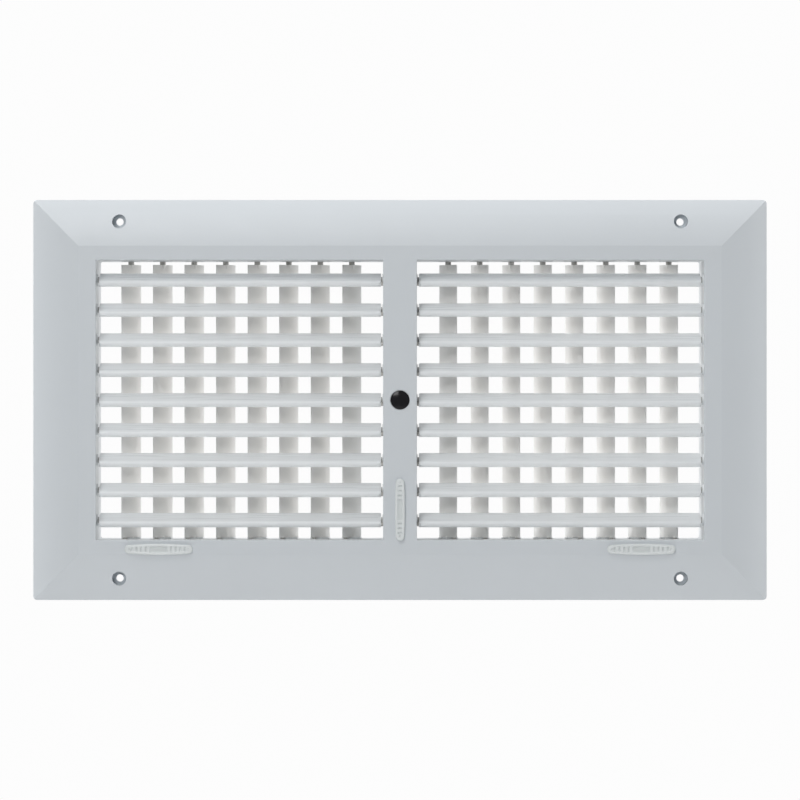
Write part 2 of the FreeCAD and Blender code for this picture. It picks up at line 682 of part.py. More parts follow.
def with_pins(body, low, high, reach, crank_end, crank_tip):
    """Adds a pivot pin at each end of a blade, as far out as reach, and a crank pin at one."""
    pins = [
        end_pin(PIN_RADIUS, 0.0, low, -reach, FOOT_GUSSET),
        end_pin(PIN_RADIUS, 0.0, high, reach, PIN_GUSSET),
        end_pin(CRANK_RADIUS, -CRANK_ARM, crank_end, crank_tip, FOOT_GUSSET),
    ]
    return body.fuse(pins).removeSplitter()


def louvre(side):
    """One louvre, made along Z about the centre of its window."""
    half = WINDOW_WIDTH / 2 - LOUVRE_END_GAP
    body = rounded_corners(strip(louvre_section(), -half, half), -half, half)
    tip = WINDOW_WIDTH / 2 + RAIL_SETBACK + RAIL_WALL + PIN_PROUD
    inward = -SIDE_SIGN[side]
    crank_tip = WINDOW_CENTRE - (LOUVRE_BAR_HALF_WIDTH - BAR_FLANGE - CRANK_PROUD)
    return with_pins(body, -half, half, tip, inward * half, inward * crank_tip)


def vane():
    """One vane, made along Z. It stands on its lower boss, and its crank is at the foot."""
    low = VANE_FOOT_BOSS + VANE_FOOT_GAP - VANE_RAIL_Z
    high = OPENING_HALF_HEIGHT - VANE_TOP_GAP
    body = strip(vane_section(), low, high)
    tip = VANE_RAIL_Z + RAIL_WALL + PIN_PROUD
    return with_pins(body, low, high, tip, low, VANE_BAR_BOTTOM - CRANK_PROUD)


# --- Link bars ---------------------------------------------------------------------------
def louvre_link_bar():
    """A channel inside the mullion, which the crank pins of both rows of louvres enter."""
    sideways, along_y = crank_offset(LOUVRE_REST)
    y = LOUVRE_PIVOT_Y + along_y
    pins = [z - sideways for z in louvre_heights()]
    z_range = (pins[-1] - BAR_OVERHANG, pins[0] + BAR_OVERHANG)
    inner = LOUVRE_BAR_HALF_WIDTH - BAR_FLANGE
    y_range = (y - BAR_HALF_DEPTH, y + BAR_HALF_DEPTH)
    bar = box((-LOUVRE_BAR_HALF_WIDTH, LOUVRE_BAR_HALF_WIDTH), y_range, z_range)
    web_front = y_range[1] - BAR_WEB
    bar = bar.cut(box((-inner, inner), (y_range[0] - 1, web_front), (z_range[0] - 1, z_range[1] + 1)))

    near = STEM_BREADTH / 2 + LOUVRE_FORK_CLEARANCE
    height = louvre_slider_height()
    prongs = []
    for way in (-1, 1):
        prong_z = (height + way * near, height + way * (near + FORK_PRONG))
        prongs.append(box((-inner, inner), (y_range[0], web_front), prong_z))
    reach = LOUVRE_BAR_HALF_WIDTH + 1
    holes = [rod(CRANK_RADIUS + RUNNING_FIT, Vector(-reach, y, z), Vector(reach, y, z)) for z in pins]
    return bar.fuse(prongs).cut(holes).removeSplitter()


def vane_link_bar(side):
    """A flat bar under the vanes, with an arm that reaches forward to the slider."""
    sideways, along_y = crank_offset(VANE_REST[side])
    y = VANE_PIVOT_Y + along_y
    pins = [x + sideways for x in vane_positions(side)]
    z_range = (VANE_BAR_BOTTOM, VANE_BAR_TOP)
    y_range = (y - BAR_HALF_DEPTH, y + BAR_HALF_DEPTH)
    bar = box((pins[0] - BAR_OVERHANG, pins[-1] + BAR_OVERHANG), y_range, z_range)

    x = vane_slider_place(side)
    arm_front = FORK_FRONT_Y + CRANK_ARM + along_y
    arm = box((x - VANE_ARM_HALF_WIDTH, x + VANE_ARM_HALF_WIDTH), (arm_front, y), z_range)
    near = STEM_BREADTH / 2 + VANE_FORK_CLEARANCE
    prong_z = (VANE_SLIDER_Z - STEM_THICKNESS / 2 - SLOT_FIT, VANE_BAR_TOP)
    prongs = []
    for way in (-1, 1):
        prong_x = (x + way * near, x + way * (near + FORK_PRONG))
        prongs.append(box(prong_x, (arm_front, arm_front + FORK_LENGTH), prong_z))
    holes = []
    for pin_x in pins:
        top = Vector(pin_x, y, VANE_BAR_TOP + 1)
        holes.append(rod(CRANK_RADIUS + RUNNING_FIT, Vector(pin_x, y, VANE_BAR_BOTTOM - 1), top))
    return bar.fuse([arm] + prongs).cut(holes).removeSplitter()


# --- Thumb sliders -----------------------------------------------------------------------
def grip_outline(length, width, inset):
    """A long lens with round ends, lying along X in the plane of the face."""
    end_radius = GRIP_END_RADIUS - inset
    half_width = width / 2 - inset
    shoulder = length / 2 - GRIP_END_RADIUS
    tip = length / 2 - inset
    top = [(-shoulder, end_radius), (0, half_width), (shoulder, end_radius)]
    bottom = [(across, -up) for across, up in reversed(top)]
    top_points = [Vector(across, 0, up) for across, up in top]
    bottom_points = [Vector(across, 0, up) for across, up in bottom]
    return filled([
        arc(*top_points),
        arc(top_points[2], Vector(tip, 0, 0), bottom_points[0]),
        arc(*bottom_points),
        arc(bottom_points[2], Vector(-tip, 0, 0), top_points[0]),
    ])


def slider(length, width):
    """A slider along X about the origin: a dished, ribbed grip on a stem."""
    foot_y = FACE_Y - SLIDE_GAP
    top_y = foot_y - GRIP_HEIGHT
    grip = grip_outline(length, width, 0.0).extrude(Vector(0, -GRIP_HEIGHT, 0))
    grip.translate(Vector(0, foot_y, 0))
    upper = [edge for edge in grip.Edges if edge.BoundBox.YMax < top_y + 0.01]
    grip = grip.makeFillet(GRIP_EDGE_RADIUS, upper)

    recess = grip_outline(length, width, GRIP_RIM).extrude(Vector(0, GRIP_RECESS + 1, 0))
    recess.translate(Vector(0, top_y - 1, 0))
    ribs = []
    for index in range(GRIP_RIB_COUNT):
        place = GRIP_SMOOTH_LENGTH / 2 + index * GRIP_RIB_PITCH
        for x in (-place, place):
            rib_x = (x - GRIP_RIB_WIDTH / 2, x + GRIP_RIB_WIDTH / 2)
            rib_y = (top_y + GRIP_RECESS - GRIP_RIB_HEIGHT, top_y + GRIP_RECESS + 1)
            ribs.append(box(rib_x, rib_y, (-width, width)))
    grip = grip.cut(recess.cut(ribs))

    half_breadth = STEM_BREADTH / 2
    half_thickness = STEM_THICKNESS / 2
    stem_y = (foot_y - GRIP_HEIGHT / 3, STEM_TIP_Y)
    stem = box((-half_breadth, half_breadth), stem_y, (-half_thickness, half_thickness))
    return grip.fuse(stem).removeSplitter()


def slider_clip(half_sizes, stem_half):
    """A plate pushed onto the stem behind the face."""
    front_y = FACE_BACK_Y + SLIDE_GAP
    y_range = (front_y, front_y + CLIP_THICKNESS)
    half_x, half_z = half_sizes
    plate = box((-half_x, half_x), y_range, (-half_z, half_z))
    stem_x, stem_z = stem_half
    return plate.cut(box((-stem_x, stem_x), (front_y - 1, front_y + CLIP_THICKNESS + 1), (-stem_z, stem_z)))


def louvre_slider():
    grip = slider(**LOUVRE_GRIP)
    grip.rotate(ORIGIN, Y_AXIS, 90)
    grip.translate(Vector(0, 0, louvre_slider_height()))
    return grip


def louvre_slider_clip():
    clip = slider_clip(LOUVRE_CLIP_HALF, (STEM_THICKNESS / 2, STEM_BREADTH / 2))
    clip.translate(Vector(0, 0, louvre_slider_height()))
    return clip


def vane_slider(side):
    grip = slider(**VANE_GRIP)
    grip.translate(Vector(vane_slider_place(side), 0, VANE_SLIDER_Z))
    return grip


def vane_slider_clip(side):
    clip = slider_clip(VANE_CLIP_HALF, (STEM_BREADTH / 2, STEM_THICKNESS / 2))
    clip.translate(Vector(vane_slider_place(side), 0, VANE_SLIDER_Z))
    return clip


# --- Centre cap --------------------------------------------------------------------------
def centre_cap():
    """A domed disc with a short shank, whose bead snaps in behind the face."""
    seat_y = FACE_Y + CAP_RECESS_DEPTH
    edge_y = seat_y - CAP_EDGE
    bead_y = FACE_BACK_Y + CAP_SHANK_GAP
    axis_start = Vector(0, seat_y, 0)
    profile = filled([
        line(Vector(0, edge_y - CAP_DOME, 0), axis_start),
        line(axis_start, Vector(CAP_RADIUS, seat_y, 0)),
        line(Vector(CAP_RADIUS, seat_y, 0), Vector(CAP_RADIUS, edge_y, 0)),
        dome_arc(edge_y),
    ])
    disc = profile.revolve(ORIGIN, Y_AXIS, 360)
    shank = rod(CAP_SHANK_RADIUS, axis_start - Vector(0, CAP_EDGE / 2, 0), Vector(0, bead_y, 0))
    bead = rod(CAP_BEAD_RADIUS, Vector(0, bead_y, 0), Vector(0, bead_y + CAP_BEAD_LENGTH, 0))
    return disc.fuse([shank, bead]).removeSplitter()


def dome_arc(edge_y):
    """The domed top of the cap, from its rim to its crown."""
    radius = (CAP_RADIUS ** 2 + CAP_DOME ** 2) / (2 * CAP_DOME)
    half_x = CAP_RADIUS / 2
    middle_y = edge_y - CAP_DOME + radius - math.sqrt(radius ** 2 - half_x ** 2)
    return arc(Vector(CAP_RADIUS, edge_y, 0), Vector(half_x, middle_y, 0), Vector(0, edge_y - CAP_DOME, 0))


# --- Assembly ----------------------------------------------------------------------------
def build_parts():
    parts = {
        "front_frame": front_frame(),
        "duct_collar": duct_collar(),
        "collar_screws": collar_screws(),
        "centre_cap": centre_cap(),
        "louvre_link_bar": louvre_link_bar(),
        "louvre_slider": louvre_slider(),
        "louvre_slider_clip": louvre_slider_clip(),
    }
    upright = vane()
    for side in SIDES:
        sign = SIDE_SIGN[side]
        outer_x = sign * (OPENING_HALF_WIDTH + RAIL_SETBACK)
        inner_x = sign * (MULLION_HALF_WIDTH - RAIL_SETBACK)
        parts[f"louvre_rail_{side}"] = louvre_rail(outer_x, sign, False)
        parts[f"mullion_rail_{side}"] = louvre_rail(inner_x, -sign, True)
        parts[f"vane_rail_top_{side}"] = vane_rail(side, 1, False)
        parts[f"vane_rail_bottom_{side}"] = vane_rail(side, -1, True)
        parts[f"vane_link_bar_{side}"] = vane_link_bar(side)
        parts[f"vane_slider_{side}"] = vane_slider(side)
        parts[f"vane_slider_clip_{side}"] = vane_slider_clip(side)
        level = louvre(side)
        for number, z in enumerate(louvre_heights(), 1):
            parts[f"louvre_{side}_{number}"] = as_louvre(level, LOUVRE_REST, sign * WINDOW_CENTRE, z)
        for number, x in enumerate(vane_positions(side), 1):
            parts[f"vane_{side}_{number}"] = as_vane(upright, VANE_REST[side], x)
    return parts


os.makedirs("parts", exist_ok=True)
for name, shape in build_parts().items():
    shape.exportStep(f"parts/{name}.step")
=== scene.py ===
import json
import math

import bmesh
import bpy
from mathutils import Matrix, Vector


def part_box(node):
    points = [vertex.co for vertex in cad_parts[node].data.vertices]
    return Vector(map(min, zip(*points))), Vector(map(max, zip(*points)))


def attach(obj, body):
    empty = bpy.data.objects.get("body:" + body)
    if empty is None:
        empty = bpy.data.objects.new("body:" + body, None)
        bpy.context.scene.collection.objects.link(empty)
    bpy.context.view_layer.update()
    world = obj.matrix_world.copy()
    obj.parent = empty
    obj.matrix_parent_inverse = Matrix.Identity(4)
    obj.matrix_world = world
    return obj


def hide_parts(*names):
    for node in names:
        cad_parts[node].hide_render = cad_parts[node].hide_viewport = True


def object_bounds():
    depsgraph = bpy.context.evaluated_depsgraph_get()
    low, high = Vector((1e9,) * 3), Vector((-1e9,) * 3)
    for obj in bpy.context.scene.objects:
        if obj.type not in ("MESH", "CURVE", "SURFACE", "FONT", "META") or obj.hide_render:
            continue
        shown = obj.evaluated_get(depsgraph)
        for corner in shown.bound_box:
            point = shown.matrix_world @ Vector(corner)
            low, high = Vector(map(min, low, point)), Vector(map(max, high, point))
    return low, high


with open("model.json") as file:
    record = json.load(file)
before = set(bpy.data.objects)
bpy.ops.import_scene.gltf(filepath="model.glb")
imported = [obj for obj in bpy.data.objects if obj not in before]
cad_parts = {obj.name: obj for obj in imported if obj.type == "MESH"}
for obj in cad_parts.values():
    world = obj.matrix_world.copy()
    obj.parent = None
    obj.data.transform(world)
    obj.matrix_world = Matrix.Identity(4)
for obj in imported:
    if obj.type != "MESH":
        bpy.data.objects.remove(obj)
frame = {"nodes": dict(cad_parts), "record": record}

# Lengths are in metres and angles in degrees. +X is right, +Y goes into the wall, +Z is up.
cad_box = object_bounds()

SIDES = ("left", "right")
MM = 0.001

# --- Camera, light and stage ---------------------------------------------------------------
# The camera's distance from the flange's front face, its sensor in millimetres, and the width
# that it frames at that face
CAMERA_DISTANCE = 2.8
SENSOR_WIDTH = 36.0
FRAMED_WIDTH = 0.5967
FLOOR_DROP = 1.2
FLOOR_RADIUS = 6.0
FLOOR_SIDES = 96
FLOOR_ROUGHNESS = 0.7
# The studio's own brightness: the room in front, the bright wall behind, and the wall as seen
ROOM_GLOW = 0.05
WALL_GLOW = 0.62
WALL_SEEN = 0.98
SOFTBOXES = {
    "key": {"place": (-0.7, -2.2, 2.4), "size": (1.6, 1.2), "power": 31.0},
    "front_fill": {"place": (-1.1, -3.2, 0.9), "size": (0.8, 0.6), "power": 24.0, "reflected": False},
    "catchlight": {"place": (-0.52, -3.2, 0.8), "size": (0.65, 0.5), "power": 3.3},
    "top": {"place": (0.0, -0.5, 2.6), "size": (2.4, 1.0), "power": 8.0},
    "above": {"place": (0.0, 0.5, 2.6), "size": (2.4, 0.8), "power": 33.0},
    "right": {"place": (2.6, -0.6, 0.0), "size": (1.0, 2.0), "power": 8.0},
    "rear_left": {"place": (-2.6, 1.1, 0.2), "size": (1.6, 1.6), "power": 38.0},
    "rear_right": {"place": (2.6, 1.1, 0.2), "size": (1.6, 1.6), "power": 27.0},
}

# --- Colours, in linear light --------------------------------------------------------------
FRAME_COLOUR = (0.67, 0.71, 0.742)
BLADE_COLOUR = (0.807, 0.831, 0.845)
VANE_COLOUR = (0.825, 0.815, 0.795)
SLIDER_COLOUR = (0.79, 0.825, 0.832)
# Painted shade: the grips' rims keep SLIDER_COLOUR, and their dish and grooves are painted this darker
# colour
HOLLOW_SHADE_COLOUR = (0.715, 0.752, 0.755)
# Painted shade: the pins past the blades' ends, in the gaps by the walls, are painted this darker colour
PIN_SHADE_COLOUR = (0.47, 0.46, 0.44)
LINK_COLOUR = (0.72, 0.71, 0.67)
CAP_COLOUR = (0.015, 0.015, 0.017)
STEEL_COLOUR = (0.62, 0.61, 0.58)
FLOOR_COLOUR = (0.86, 0.86, 0.86)

# --- Textures ------------------------------------------------------------------------------
# A noise is its scale per metre and its detail. A swing is a share of the colour, or of roughness
# from 0 to 1. Only the middle of a noise's range is spread over the values asked for.
NOISE_LOW = 0.3
NOISE_HIGH = 0.7
PLASTIC_IOR = 1.52
FLOW_NOISE = (9.0, 3.0)
FLOW_SWING = 0.015
FLOW_RELIEF = 0.12 * MM
PATCH_NOISE = (60.0, 4.0)
PATCH_SWING = 0.04
PEEL_NOISE = (420.0, 2.0)
PEEL_RELIEF = 0.02 * MM
GRAIN_NOISE = (2600.0, 3.0)
GRAIN_RELIEF = 0.012 * MM
CLOUD_NOISE = (14.0, 3.0)
CLOUD_SWING = 0.02
DIE_LINE_NOISE = (18.0, 2.0)
DIE_LINE_STRETCH = 60.0
DIE_LINE_SWING = 0.05
DIE_LINE_RELIEF = 0.006 * MM
DRAWN_GRAIN_NOISE = (1800.0, 2.0)
DRAWN_GRAIN_RELIEF = 0.006 * MM
HAZE_NOISE = (300.0, 4.0)
HAZE_SWING = 0.25
HAZE_ROUGHNESS = (0.08, 0.16)
HAZE_RELIEF = 0.02 * MM
MOTTLE_NOISE = (900.0, 4.0)
MOTTLE_SWING = 0.12
MOTTLE_ROUGHNESS = (0.28, 0.45)
MOTTLE_RELIEF = 0.01 * MM
FLOOR_NOISE = (0.6, 3.0)
FLOOR_SWING = 0.02

# How far light passes through the thin blades
GLOW_THROUGH = 0.6
GLOW_DEPTH = 4.0 * MM
# Where the blades lie along their axis: the middle of each is to_window from the row's middle
LOUVRE_RUN = {"along": 0, "middle": 0.0, "to_window": 119.8 * MM, "half_length": 105.7 * MM}
VANE_RUN = {"along": 2, "middle": -0.875 * MM, "to_window": 0.0, "half_length": 102.95 * MM}

# Points of a mesh that lie nearer than this are one point
WELD_DISTANCE = 0.001 * MM

# --- Thumb grips ---------------------------------------------------------------------------
GRIP_HEIGHT = 3.0 * MM
GRIP_END_RADIUS = 3.3 * MM
GRIP_EDGE_RADIUS = 1.2 * MM
GRIP_FOOT_RADIUS = 0.2 * MM
GRIP_RIM = 1.3 * MM
GRIP_FALL = 1.25 * MM
GRIP_DISH = 1.2 * MM
# How much of its height a grip loses towards its ends, and how late
GRIP_CROWN = 0.22
GRIP_CROWN_POWER = 4
GRIP_PLAIN_HALF = 6.5 * MM
GRIP_RIB_PITCH = 3.45 * MM
GRIP_RIB_HALF = 1.1 * MM
GRIP_RIB_SOFTNESS = 0.4 * MM
GRIP_RIB_HEIGHT = 0.85 * MM
GRIP_RIB_FROM_PAD = 2.6 * MM
GRIP_PAD_LENGTH = 4.9 * MM
GRIP_PAD_DROP = 0.1 * MM
DIMPLE_RADIUS = 1.1 * MM
DIMPLE_DEPTH = 0.6 * MM
DIMPLE_STEEPNESS = 1.4
GRIP_SIDE_STEPS = 240
GRIP_END_STEPS = 24
GRIP_EDGE_STEPS = 5
GRIP_TOP_STEPS = 14
STEM_BREADTH = 4.0 * MM
STEM_THICKNESS = 2.4 * MM
STEM_INTO_GRIP = 1.0 * MM
STEM_BEVEL = 0.3 * MM
STEM_BEVEL_STEPS = 3
ROUND_BEVEL = 0.5

# The Y of the grips' crests, and the depths below it between which painted shade darkens their plastic
GRIP_TOP_Y = cad_box[0][1]
HOLLOW_SHADE_FROM = 0.2 * MM
HOLLOW_SHADE_TO = 0.9 * MM

# --- Centre cap ----------------------------------------------------------------------------
CAP_DOME = 0.7 * MM
CAP_SEAT_DEPTH = 1.8 * MM
CAP_EDGE_RADIUS = 0.35 * MM
CAP_EDGE_STEPS = 5
CAP_DOME_STEPS = 10
CAP_SHANK_RADIUS = 3.9 * MM
CAP_BEAD_RADIUS = 4.3 * MM
CAP_BEAD_LENGTH = 0.9 * MM
CAP_BEAD_CHAMFER = 0.3 * MM
CAP_SIDES = 96


# --- Node helpers --------------------------------------------------------------------------
class Shader:
    """A material's node tree, with short calls for what the materials share."""

    def __init__(self, name):
        self.material = bpy.data.materials.new(name)
        self.material.use_nodes = True
        self.tree = self.material.node_tree
        self.surface = self.tree.nodes["Principled BSDF"]
        self.coordinates = self.add("ShaderNodeTexCoord").outputs["Object"]

    def add(self, kind, **settings):
        """A new node of a kind, with the settings given."""
        node = self.tree.nodes.new(kind)
        for key, value in settings.items():
            setattr(node, key, value)
        return node

    def join(self, output, socket):
        """Links an output to a socket."""
        self.tree.links.new(output, socket)

    def noise(self, scale, detail, stretch=(1, 1, 1)):
        """Noise in the object's own metres. stretch above 1 packs it tighter along an axis."""
        mapping = self.add("ShaderNodeMapping")
        mapping.inputs["Scale"].default_value = stretch
        self.join(self.coordinates, mapping.inputs["Vector"])
        texture = self.add("ShaderNodeTexNoise")
        texture.inputs["Scale"].default_value = scale
        texture.inputs["Detail"].default_value = detail
        self.join(mapping.outputs["Vector"], texture.inputs["Vector"])
        return texture.outputs["Fac"]

    def spread(self, value, low, high):
        """Maps the middle of a noise's range to low..high."""
        ramp = self.add("ShaderNodeMapRange")
        ramp.inputs["From Min"].default_value = NOISE_LOW
        ramp.inputs["From Max"].default_value = NOISE_HIGH
        ramp.inputs["To Min"].default_value = low
        ramp.inputs["To Max"].default_value = high
        self.join(value, ramp.inputs["Value"])
        return ramp.outputs["Result"]

    def tint(self, value, colour, swing):
        """Colour that drifts a little to each side of the one given."""
        mix = self.add("ShaderNodeMix", data_type="RGBA")
        mix.inputs["A"].default_value = [c * (1 - swing) for c in colour] + [1]
        mix.inputs["B"].default_value = [min(1, c * (1 + swing)) for c in colour] + [1]
        self.join(value, mix.inputs["Factor"])
        return mix.outputs["Result"]

    def paint_shade(self, unshaded, colour, mask):
        """The unshaded colour where the mask is 0, and a painted shade colour where it is 1."""
        mix = self.add("ShaderNodeMix", data_type="RGBA")
        mix.inputs["B"].default_value = (*colour, 1)
        self.join(unshaded, mix.inputs["A"])
        self.join(mask, mix.inputs["Factor"])
        return mix.outputs["Result"]

    def place(self, axis):
        """The object's own coordinate along an axis, which is 0, 1 or 2."""
        parts = self.add("ShaderNodeSeparateXYZ")
        self.join(self.coordinates, parts.inputs["Vector"])
        return parts.outputs[axis]

    def bump(self, height, depth, under=None):
        """Relief of a given depth in metres, on top of another relief."""
        node = self.add("ShaderNodeBump")
        node.inputs["Strength"].default_value = 1.0
        node.inputs["Distance"].default_value = depth
        self.join(height, node.inputs["Height"])
        if under:
            self.join(under, node.inputs["Normal"])
        return node.outputs["Normal"]


# --- Materials -----------------------------------------------------------------------------
def moulded_plastic(name, colour, roughness, shaded_hollows=False):
    """Injection-moulded ABS: faint flow shading, orange peel and a fine grain."""
    shader = Shader(name)
    flow = shader.noise(*FLOW_NOISE)
    patches = shader.noise(*PATCH_NOISE)
    base = shader.tint(flow, colour, FLOW_SWING)
    # Painted shade: the grips' dish and grooves are coloured darker, deeper below the crest
    if shaded_hollows:
        base = shader.paint_shade(base, HOLLOW_SHADE_COLOUR, grip_hollow_shade(shader))
    shader.join(base, shader.surface.inputs["Base Color"])
    rough = shader.spread(patches, roughness - PATCH_SWING, roughness + PATCH_SWING)
    shader.join(rough, shader.surface.inputs["Roughness"])
    relief = shader.bump(flow, FLOW_RELIEF)
    relief = shader.bump(shader.noise(*PEEL_NOISE), PEEL_RELIEF, relief)
    relief = shader.bump(shader.noise(*GRAIN_NOISE), GRAIN_RELIEF, relief)
    shader.join(relief, shader.surface.inputs["Normal"])
    shader.surface.inputs["IOR"].default_value = PLASTIC_IOR
    return shader.material


def grip_hollow_shade(shader):
    """0 on the rims and ribs of the thumb grips, and 1 in their hollows, where shade is painted darker.
    """
    hollow = shader.add("ShaderNodeMapRange", interpolation_type="SMOOTHSTEP")
    hollow.inputs["From Min"].default_value = GRIP_TOP_Y + HOLLOW_SHADE_FROM
    hollow.inputs["From Max"].default_value = GRIP_TOP_Y + HOLLOW_SHADE_TO
    shader.join(shader.place(1), hollow.inputs["Value"])
    return hollow.outputs["Result"]


def past_the_ends(shader, along, middle, to_window, half_length):
    """1 on the pins, past the ends of a blade that lies along an axis, and 0 on the blade."""
    value = shader.place(along)
    for offset in (middle, to_window):
        shifted = shader.add("ShaderNodeMath", operation="SUBTRACT")
        shifted.inputs[1].default_value = offset
        shader.join(value, shifted.inputs[0])
        size = shader.add("ShaderNodeMath", operation="ABSOLUTE")
        shader.join(shifted.outputs["Value"], size.inputs[0])
        value = size.outputs["Value"]
    beyond = shader.add("ShaderNodeMath", operation="GREATER_THAN")
    beyond.inputs[1].default_value = half_length
    shader.join(value, beyond.inputs[0])
    return beyond.outputs["Value"]


def extruded_plastic(name, colour, roughness, along, **run):
    """Drawn ABS profile: fine die lines along the blade, cloudy shading, and painted shade on the pins
    past its ends.
    """
    shader = Shader(name)
    cloud = shader.noise(*CLOUD_NOISE)
    stretch = [DIE_LINE_STRETCH] * 3
    stretch[along] = 1.0
    lines = shader.noise(*DIE_LINE_NOISE, stretch)
    unshaded = shader.tint(cloud, colour, CLOUD_SWING)
    # Painted shade: the pins past the blade's ends are coloured darker
    base = shader.paint_shade(unshaded, PIN_SHADE_COLOUR, past_the_ends(shader, along, **run))
    shader.join(base, shader.surface.inputs["Base Color"])
    rough = shader.spread(lines, roughness - DIE_LINE_SWING, roughness + DIE_LINE_SWING)
    shader.join(rough, shader.surface.inputs["Roughness"])
    relief = shader.bump(lines, DIE_LINE_RELIEF)
    relief = shader.bump(shader.noise(*DRAWN_GRAIN_NOISE), DRAWN_GRAIN_RELIEF, relief)
    shader.join(relief, shader.surface.inputs["Normal"])
    shader.surface.inputs["IOR"].default_value = PLASTIC_IOR
    shader.surface.inputs["Subsurface Weight"].default_value = GLOW_THROUGH
    shader.surface.inputs["Subsurface Radius"].default_value = (1.0, 1.0, 1.0)
    shader.surface.inputs["Subsurface Scale"].default_value = GLOW_DEPTH
    return shader.material


def polished_black(name):
    """Glossy black cap, with the slightest handling haze."""
    shader = Shader(name)
    haze = shader.noise(*HAZE_NOISE)
    shader.join(shader.tint(haze, CAP_COLOUR, HAZE_SWING), shader.surface.inputs["Base Color"])
    shader.join(shader.spread(haze, *HAZE_ROUGHNESS), shader.surface.inputs["Roughness"])
    shader.join(shader.bump(haze, HAZE_RELIEF), shader.surface.inputs["Normal"])
    return shader.material


def plated_steel(name):
    """Zinc plate: brushed, with a mottled sheen."""
    shader = Shader(name)
    mottle = shader.noise(*MOTTLE_NOISE)
    shader.join(shader.tint(mottle, STEEL_COLOUR, MOTTLE_SWING), shader.surface.inputs["Base Color"])
    shader.join(shader.spread(mottle, *MOTTLE_ROUGHNESS), shader.surface.inputs["Roughness"])
    shader.join(shader.bump(mottle, MOTTLE_RELIEF), shader.surface.inputs["Normal"])
    shader.surface.inputs["Metallic"].default_value = 1.0
    return shader.material


def slot_materials():
    """One material for each material slot of the record."""
    return {
        "frame_plastic": moulded_plastic("frame_plastic", FRAME_COLOUR, roughness=0.42),
        "collar_plastic": moulded_plastic("collar_plastic", FRAME_COLOUR, roughness=0.48),
        "rail_plastic": moulded_plastic("rail_plastic", BLADE_COLOUR, roughness=0.45),
        "louvre_plastic": extruded_plastic("louvre_plastic", BLADE_COLOUR, roughness=0.3, **LOUVRE_RUN),
        "vane_plastic": extruded_plastic("vane_plastic", VANE_COLOUR, roughness=0.42, **VANE_RUN),
        "slider_plastic": moulded_plastic("slider_plastic", SLIDER_COLOUR, roughness=0.34, shaded_hollows=True),
        "link_plastic": moulded_plastic("link_plastic", LINK_COLOUR, roughness=0.5),
        "cap_black": polished_black("cap_black"),
        "screw_steel": plated_steel("screw_steel"),
    }


def dress_nodes(materials):
    """Gives every CAD node the material of its slot."""
    for entry in frame["record"]["subparts"]:
        mesh = frame["nodes"][entry["node"]].data
        mesh.materials.clear()
        mesh.materials.append(materials[entry["material_slot"]])


# --- Mesh helpers --------------------------------------------------------------------------
def smoothstep(value):
    """Eases from 0 to 1, flat at both ends."""
    value = min(1.0, max(0.0, value))
    return value * value * (3 - 2 * value)


def skin_loops(form, loops):
    """Joins closed loops of points, in order, with quads."""
    rings = [[form.verts.new(point) for point in loop] for loop in loops]
    for ring, following in zip(rings, rings[1:]):
        for index in range(len(ring)):
            after = (index + 1) % len(ring)
            form.faces.new((ring[index], ring[after], following[after], following[index]))
    return rings


def finish_piece(form, name, body, material, replaced):
    """Turns a bmesh into a smooth piece that rides on a body and stands for a CAD node."""
    bmesh.ops.remove_doubles(form, verts=form.verts, dist=WELD_DISTANCE)
    bmesh.ops.recalc_face_normals(form, faces=form.faces)
    mesh = bpy.data.meshes.new(name)
    form.to_mesh(mesh)
    form.free()
    mesh.shade_smooth()
    mesh.materials.append(material)
    piece = bpy.data.objects.new(name, mesh)
    bpy.context.collection.objects.link(piece)
    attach(piece, body)
    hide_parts(replaced)
    return piece


# --- Thumb grips ---------------------------------------------------------------------------
def grip_outline(length, width):
    """Points round a lens with round ends, each with the point of its spine it faces."""
    shoulder = length / 2 - GRIP_END_RADIUS
    swell = width / 2 - GRIP_END_RADIUS
    bow = (shoulder ** 2 + swell ** 2) / (2 * swell)
    outline = []
    for side in (1, -1):
        for step in range(GRIP_SIDE_STEPS):
            along = side * shoulder * (2 * step / GRIP_SIDE_STEPS - 1)
            half_width = width / 2 - bow + math.sqrt(bow ** 2 - along ** 2)
            outline.append((Vector((along, side * half_width)), Vector((along, 0))))
        for step in range(GRIP_END_STEPS):
            turn = math.pi * (0.5 - step / GRIP_END_STEPS)
            spine = Vector((side * shoulder, 0))
            reach = Vector((math.cos(turn), math.sin(turn))) * GRIP_END_RADIUS * side
            outline.append((spine + reach, spine))
    return outline


def step_up(past):
    """Eases from 0 to 1 across a rib's edge, which lies at 0."""
    return smoothstep(past / GRIP_RIB_SOFTNESS + 0.5)


def grip_relief(place, depth_in, length):
    """Height of a grip's top: a rim round a dish with ribs, and a dimpled pad at each end."""
    along = abs(place.x)
    pad_start = length / 2 - GRIP_PAD_LENGTH
    raised = step_up(along - pad_start) * (GRIP_DISH - GRIP_PAD_DROP)
    rib_place = pad_start - GRIP_RIB_FROM_PAD
    while rib_place > GRIP_PLAIN_HALF:
        raised = max(raised, step_up(GRIP_RIB_HALF - abs(along - rib_place)) * GRIP_RIB_HEIGHT)
        rib_place -= GRIP_RIB_PITCH
    from_dimple = (Vector((along, place.y)) - Vector((length / 2 - GRIP_END_RADIUS, 0))).length
    dimple = DIMPLE_DEPTH * smoothstep(DIMPLE_STEEPNESS * (1 - from_dimple / DIMPLE_RADIUS))
    fall = smoothstep((depth_in - GRIP_RIM) / GRIP_FALL)
    return GRIP_HEIGHT - fall * (GRIP_DISH - raised) - dimple


def crowned(point, length):
    """A grip's point, lowered towards the grip's ends."""
    along, across, height = point
    share = abs(2 * along / length) ** GRIP_CROWN_POWER
    return along, across, height * (1 - GRIP_CROWN * share)


